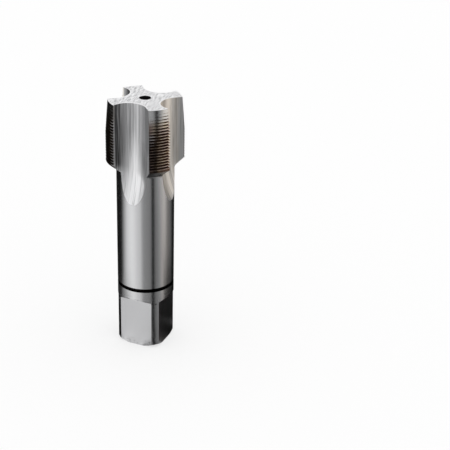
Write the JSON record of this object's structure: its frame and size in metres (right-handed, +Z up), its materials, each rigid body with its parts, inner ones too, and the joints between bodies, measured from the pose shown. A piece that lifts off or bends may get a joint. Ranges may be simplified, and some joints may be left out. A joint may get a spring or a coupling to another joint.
{
  "type": "thread tap",
  "caption": "Straight-flute hand tap: a fluted head with a relieved fine-thread cutting lead, a plain round shank with a marking groove, and a square drive end.",
  "frame": {"origin": "centre of the square end's face, which the tap stands on", "axes": "+Z up the tap's axis to the cutting end; the flats of the square and the centre lines of the flutes face +X, -X, +Y and -Y"},
  "size_m": [0.024, 0.024, 0.0915],
  "materials": {
    "ground_steel": "ground high-speed steel, satin on the shank and flats, heat-tinted straw and brown in the thread"
  },
  "bodies": {
    "root": {"thread_tap": "ground_steel"}
  },
  "joints": []
}
